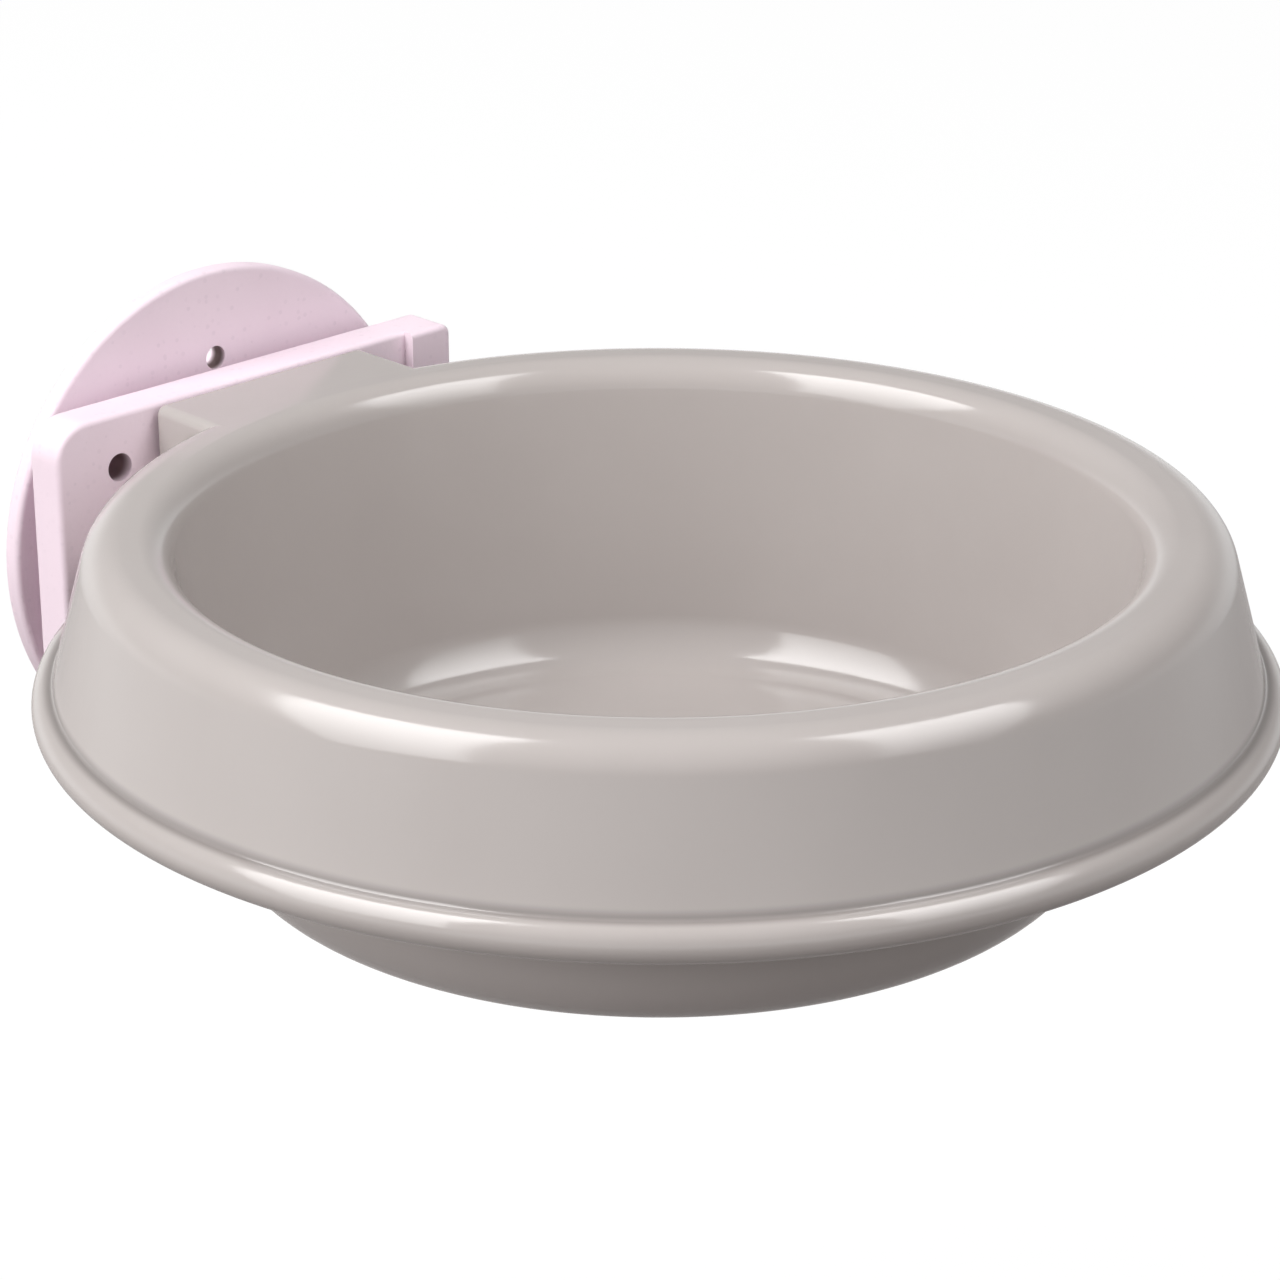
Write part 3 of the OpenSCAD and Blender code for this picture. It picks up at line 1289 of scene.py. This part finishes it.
@dataclass
class Clamp:
    """Clamp disc and washer. Sizes in millimetres; the rounded rim's points are shares of the edge."""

    washer_y: float = 7.8
    washer_t: float = 1.2
    washer_r: float = 8.0
    bore_r: float = 3.3
    edge: float = 0.25
    round_rim: tuple[Point, ...] = ((1.6, 0.0), (0.5, 0.3), (0.0, 1.2))
    steps: int = 96
    disc_finish: PlasticFinish = BRACKET_SATIN
    washer_finish: MetalFinish = ZINC_PLATE

    def build(self) -> None:
        """Dresses the disc and makes the washer."""
        dress_node("clamp_disc", self.disc_finish)
        settle(self.washer(), Body.CLAMP, "washer", self.washer_finish)

    def washer(self) -> bpy.types.Object:
        """Makes a punched washer with one rounded and one chamfered rim.

        Returns:
            The washer's object.
        """
        low, high = self.washer_y, self.washer_y + self.washer_t
        inner, outer, e = self.bore_r, self.washer_r, self.edge
        profile = [(inner + e, low), (inner, low + e), (inner, high - e), (inner + e, high)]
        profile += [(outer - inset * e, high - drop * e) for inset, drop in self.round_rim]
        profile += [(outer, low + e), (outer - e, low)]
        return loft("bevelled_washer", [circle(r, y, self.steps) for r, y in profile], closed=True)


@dataclass
class WingNut:
    """Moulded wing nut on a hexagonal insert. Sizes in millimetres."""

    base_y: float = 9.0
    hub_r: float = 8.0
    hub_end_r: float = 6.5
    hub_h: float = 11.0
    hub_edge: float = 1.0
    hub_foot_edge: float = 0.3
    hub_shoulder: float = 0.1
    hub_soft: float = 0.3
    hub_cap_r: float = 0.8
    span: float = 44.0
    wing_t: float = 4.0
    wing_h: float = 10.0
    wing_arc_steps: int = 24
    slant_deg: float = 24.0
    turn_deg: float = 45.0
    grid: float = 0.28
    smooth_factor: float = 0.5
    smooth_rounds: int = 8
    sharp_deg: float = 40.0
    bore_r: float = 3.3
    drill_over: float = 1.0
    pocket_af: float = 10.2
    insert_af: float = 10.0
    insert_h: float = 5.0
    insert_face_inset: float = 0.3
    chamfer_deg: float = 25.0
    thread_bore_r: float = 3.05
    thread_depth: float = 0.35
    flank_level: float = 1.3
    flank_steep: float = -2.6
    pitch: float = 1.0
    rows_per_mm: int = 10
    steps: int = 72
    nut_finish: PlasticFinish = BRACKET_SATIN
    insert_finish: MetalFinish = MACHINED_BRASS

    def build(self) -> None:
        """Makes the nut and its insert."""
        settle(self.nut(), Body.NUT, "wing_nut", self.nut_finish)
        settle(self.insert(), Body.NUT, "nut_insert", self.insert_finish)

    def wing(self, sign: float) -> bpy.types.Object:
        """Makes one wing as a closed slab with a round end.

        Args:
            sign: 1 or -1, for the two sides.

        Returns:
            The wing's object.
        """
        half = self.wing_h / 2.0
        slant = math.radians(self.slant_deg)
        reach = (self.span / 2.0 - half + half * math.sin(slant)) / math.cos(slant)
        arc = [(-0.5 + k / self.wing_arc_steps) * math.pi for k in range(self.wing_arc_steps + 1)]
        flat = [(0.0, 0.0)] + [(reach + half * math.cos(a), half + half * math.sin(a)) for a in arc]
        flat.append((0.0, self.wing_h))
        mesh = bmesh.new()
        sheet = [mesh.verts.new((x, y, -self.wing_t / 2.0)) for x, y in flat]
        bottom = mesh.faces.new(sheet)
        raised = bmesh.ops.extrude_face_region(mesh, geom=[bottom])
        tops = [v for v in raised["geom"] if isinstance(v, bmesh.types.BMVert)]
        bmesh.ops.translate(mesh, verts=tops, vec=(0.0, 0.0, self.wing_t))
        bmesh.ops.recalc_face_normals(mesh, faces=mesh.faces)
        about = math.radians(self.turn_deg)
        out = Vector((math.cos(about), 0.0, math.sin(about))) * sign
        along = Vector((0.0, 1.0, 0.0))
        across = out.cross(along)
        for vert in mesh.verts:
            u, v, w = vert.co
            radial = u * math.cos(slant) - v * math.sin(slant)
            axial = u * math.sin(slant) + v * math.cos(slant)
            vert.co = (out * radial + along * (self.base_y + axial) + across * w) * MM
        return to_object("wing", mesh)

    def drill(self, piece: bpy.types.Object, radius: Size, low: float, high: float) -> None:
        """Cuts a round or hexagonal hole along the bolt.

        Args:
            piece: The object that is changed.
            radius: The hole's radius, or a function of the angle that gives it.
            low: Start of the hole along the bolt.
            high: End of the hole along the bolt.
        """
        tool = loft("drill", [circle(radius, y, self.steps) for y in (low, high)], closed=False)
        combine(piece, tool, Cut.TAKE_OUT)

    def nut(self) -> bpy.types.Object:
        """Makes the nut: hub and wings run together with soft fillets, then bored and pocketed.

        Returns:
            The nut's object.
        """
        low, high = self.base_y, self.base_y + self.hub_h
        foot, end, soft = self.hub_foot_edge, self.hub_end_r, self.hub_soft * self.hub_edge
        profile = [
            (self.hub_cap_r, low),
            (self.hub_r - foot, low),
            (self.hub_r, low + foot),
            (end + self.hub_shoulder, high - self.hub_edge),
            (end - soft, high - soft),
            (end - self.hub_edge, high),
            (self.hub_cap_r, high),
        ]
        nut = loft("wing_nut_moulding", [circle(r, y, self.steps) for r, y in profile], closed=False)
        for sign in (1.0, -1.0):
            combine(nut, self.wing(sign), Cut.JOIN)
        soften(nut, self.grid * MM, self.smooth_factor, self.smooth_rounds)
        self.drill(nut, self.bore_r, low - self.drill_over, high + self.span)
        self.drill(nut, hex_radius(self.pocket_af), low - self.drill_over, low + self.insert_h)
        shade(nut, self.sharp_deg)
        return nut

    def bore_at(self, turn: float, y: float) -> float:
        """Radius of the insert's threaded bore at an angle and a place along the bolt."""
        groove = thread_share(turn, y, self.pitch, self.flank_level, self.flank_steep)
        return self.thread_bore_r + self.thread_depth * groove

    def insert(self) -> bpy.types.Object:
        """Makes the hexagonal insert with chamfered corners and a threaded bore.

        Returns:
            The insert's object.
        """
        hexagon = hex_radius(self.insert_af)
        low, high = self.base_y, self.base_y + self.insert_h
        slope = math.tan(math.radians(self.chamfer_deg))
        face_r = self.insert_af / 2.0 - self.insert_face_inset
        mouth = self.thread_bore_r + self.thread_depth
        rings = [
            circle(face_r, low, self.steps),
            circle(hexagon, lambda t: low + (hexagon(t) - face_r) * slope, self.steps),
            circle(hexagon, lambda t: high - (hexagon(t) - face_r) * slope, self.steps),
            circle(face_r, high, self.steps),
            circle(mouth, high, self.steps),
        ]
        rows = int(self.insert_h * self.rows_per_mm)
        for row in range(1, rows):
            y = high - self.insert_h * row / rows
            rings.append(circle(lambda t, y=y: self.bore_at(t, y), y, self.steps))
        rings.append(circle(mouth, low, self.steps))
        return loft("threaded_insert", rings, closed=True)


@dataclass(frozen=True)
class SoftBox:
    """One soft light panel. Angles in degrees round the bowl, as seen from the camera; sizes in metres.

    Its lower end shines with the share fade, which rises to 1 over the share fade_half of its height
    below and above its middle.
    """

    name: str
    use: Panel
    azimuth: float
    elevation: float
    radiance: float
    roll: float = 0.0
    width: float = 0.70
    height: float = 0.70
    distance: float = 1.0
    fade: float = 1.0
    fade_half: float = 0.35


LIGHTS = (
    SoftBox(
        "left_panel", Panel.SOFTBOX, azimuth=-66.0, elevation=44.0, radiance=6.6,
        roll=32.0, width=0.58, height=1.34, fade=0.32,
    ),
    SoftBox(
        "right_panel", Panel.SOFTBOX, azimuth=68.0, elevation=44.0, radiance=5.2,
        roll=-32.0, width=0.46, height=1.26, fade=0.12,
    ),
    SoftBox("low_left_fill", Panel.FILL, azimuth=-60.0, elevation=11.0, radiance=2.3),
    SoftBox("front_fill", Panel.FILL, azimuth=-14.0, elevation=20.0, radiance=1.25),
    SoftBox("low_right_fill", Panel.FILL, azimuth=52.0, elevation=22.0, radiance=1.15),
    SoftBox("back_fill", Panel.FILL, azimuth=-135.0, elevation=12.0, radiance=1.5),
)


@dataclass
class Studio:
    """Floor, world, lights and camera. Sizes in metres."""

    camera_at: Triple = (-0.32783, -0.41305, 0.19445)
    camera_aim: Triple = (-0.00171, -0.08430, 0.00585)
    camera_azimuth: float = -44.77
    camera_clip: float = 0.01
    lens: float = 109.52
    sensor: float = 36.0
    centre: Triple = (0.0, -0.086, 0.01)
    floor_z: float = -0.13
    floor_half: float = 4.0
    floor_squares: int = 4
    floor_pale: Colour = (0.90, 0.90, 0.90)
    floor_dim: Colour = (0.45, 0.42, 0.41)
    floor_bounce: Colour = (0.070, 0.050, 0.046)
    floor_glow: float = 0.95
    floor_mirrored: float = 0.15
    floor_far: float = 0.90
    far_from: float = 0.45
    far_to: float = 1.00
    floor_white: float = 1.02
    ambient_high: float = 0.06
    ambient_low: float = 0.03
    ambient_rise: float = 0.3
    ceiling: float = 0.35
    ceiling_rise: float = 0.32
    boxes: tuple[SoftBox, ...] = LIGHTS

    def build(self) -> None:
        """Makes the whole studio."""
        self.view()
        self.world()
        self.floor()
        for box in self.boxes:
            self.light(box)
        LOG.info("studio with %d lights", len(self.boxes))

    def view(self) -> None:
        """Places the camera and sets the plain view transform."""
        camera = bpy.data.objects.new("photo_camera", bpy.data.cameras.new("photo_camera"))
        camera.data.lens = self.lens
        camera.data.sensor_width = self.sensor
        camera.data.clip_start = self.camera_clip
        camera.location = self.camera_at
        aim = Vector(self.camera_aim) - Vector(self.camera_at)
        camera.rotation_euler = aim.to_track_quat("-Z", "Y").to_euler()
        bpy.context.scene.collection.objects.link(camera)
        bpy.context.scene.camera = camera
        bpy.context.scene.view_settings.view_transform = "Standard"

    @staticmethod
    def mirrored_rays(pen: NodePen, path: bpy.types.Node) -> Socket:
        """Returns 1 for rays that a surface mirrors or lets through."""
        return pen.math("MAXIMUM", path.outputs["Is Glossy Ray"], path.outputs["Is Transmission Ray"])

    def world(self) -> None:
        """Makes a white backdrop under a dimmer ceiling, which lights the object at a plain level."""
        world = bpy.data.worlds.new("studio_white")
        bpy.context.scene.world = world
        pen = NodePen.on(world)
        sky = pen.add("ShaderNodeBackground")
        path = pen.add("ShaderNodeLightPath")
        rise = pen.split(pen.add("ShaderNodeTexCoord").outputs["Generated"])[2]
        fill = pen.span(rise, -self.ambient_rise, self.ambient_rise, self.ambient_low, self.ambient_high)
        shown = pen.span(rise, 0.0, self.ceiling_rise, 1.0, self.ceiling)
        level = pen.span(self.mirrored_rays(pen, path), 0.0, 1.0, fill, shown)
        sky.inputs["Color"].default_value = rgba((1.0, 1.0, 1.0))
        pen.join(pen.span(path.outputs["Is Camera Ray"], 0.0, 1.0, level, 1.0), sky.inputs["Strength"])
        pen.join(sky.outputs[0], pen.add("ShaderNodeOutputWorld").inputs["Surface"])

    def floor(self) -> None:
        """Makes the pale floor, which shows white, keeps a soft shadow and is clear from below."""
        mesh = bmesh.new()
        squares = self.floor_squares
        bmesh.ops.create_grid(mesh, x_segments=squares, y_segments=squares, size=self.floor_half)
        floor = to_object("floor", mesh)
        floor.location = (self.centre[0], self.centre[1], self.floor_z)
        material = bpy.data.materials.new("studio_floor")
        self.paint_floor(NodePen.on(material))
        floor.data.materials.append(material)

    def paint_floor(self, pen: NodePen) -> None:
        """Makes the floor's nodes: a diffuse and a glowing share, by the kind of ray that sees them.

        Args:
            pen: Pen of the floor material's tree.
        """
        path = pen.add("ShaderNodeLightPath")
        mirrored = self.mirrored_rays(pen, path)
        seen = pen.math("MAXIMUM", path.outputs["Is Camera Ray"], mirrored)
        reach = pen.add("ShaderNodeVectorMath", operation="LENGTH")
        pen.join(pen.place(), reach.inputs[0])
        away = reach.outputs["Value"]
        faint = pen.span(away, self.far_from, self.far_to, self.floor_mirrored, self.floor_far)
        share = pen.span(mirrored, 0.0, 1.0, self.floor_glow, faint)
        diffuse = pen.add("ShaderNodeBsdfDiffuse")
        shown = pen.mix(mirrored, rgba(self.floor_pale), rgba(self.floor_dim))
        pen.join(pen.mix(seen, rgba(self.floor_bounce), shown), diffuse.inputs["Color"])
        glow = pen.add("ShaderNodeEmission")
        glow.inputs["Strength"].default_value = self.floor_white
        blend = pen.add("ShaderNodeMixShader")
        pen.join(pen.math("MULTIPLY", seen, share), blend.inputs[0])
        pen.join(diffuse.outputs[0], blend.inputs[1])
        pen.join(glow.outputs[0], blend.inputs[2])
        one_sided = pen.add("ShaderNodeMixShader")
        pen.join(pen.add("ShaderNodeNewGeometry").outputs["Backfacing"], one_sided.inputs[0])
        pen.join(blend.outputs[0], one_sided.inputs[1])
        pen.join(pen.add("ShaderNodeBsdfTransparent").outputs[0], one_sided.inputs[2])
        pen.join(one_sided.outputs[0], pen.add("ShaderNodeOutputMaterial").inputs["Surface"])

    def light(self, box: SoftBox) -> None:
        """Makes one soft light panel that faces the bowl.

        Args:
            box: The panel's values.
        """
        lamp = bpy.data.lights.new(box.name, "AREA")
        lamp.shape = "RECTANGLE"
        lamp.size = box.width
        lamp.size_y = box.height
        lamp.energy = box.radiance * math.pi * box.width * box.height
        turn = math.radians(box.azimuth + self.camera_azimuth)
        rise = math.radians(box.elevation)
        away = Vector((math.sin(turn) * math.cos(rise), -math.cos(turn) * math.cos(rise), math.sin(rise)))
        facing = (-away).to_track_quat("-Z", "Y").to_matrix()
        facing = facing @ Matrix.Rotation(math.radians(box.roll), 3, "Z")
        holder = bpy.data.objects.new(box.name, lamp)
        holder.location = Vector(self.centre) + away * box.distance
        holder.rotation_euler = facing.to_euler()
        holder.visible_glossy = box.use is Panel.SOFTBOX
        bpy.context.scene.collection.objects.link(holder)
        if box.fade < 1.0:
            self.fade(lamp, box, holder.location.z)

    @staticmethod
    def fade(lamp: bpy.types.Light, box: SoftBox, middle_z: float) -> None:
        """Dims a panel towards its lower edge.

        Args:
            lamp: The panel's light.
            box: The panel's values.
            middle_z: Height of the panel's middle.
        """
        pen = NodePen.on(lamp)
        height = pen.split(pen.add("ShaderNodeNewGeometry").outputs["Position"])[2]
        half = box.fade_half * box.height
        glow = pen.add("ShaderNodeEmission")
        pen.join(pen.span(height, middle_z - half, middle_z + half, box.fade, 1.0), glow.inputs["Strength"])
        pen.join(glow.outputs[0], pen.add("ShaderNodeOutputLight").inputs["Surface"])


def clear_strays() -> None:
    """Removes what a new Blender file holds beside the frame."""
    for thing in list(bpy.data.objects):
        if "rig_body" not in thing and thing not in frame["bodies"].values():
            bpy.data.objects.remove(thing)


def main() -> None:
    """Builds every sub-assembly and the studio."""
    logging.basicConfig(level=logging.INFO, format="%(name)s: %(message)s")
    clear_strays()
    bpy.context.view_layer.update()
    for part in (Bowl(), Bracket(), Clamp(), WingNut(), Studio()):
        part.build()


if __name__ == "__main__":
    main()
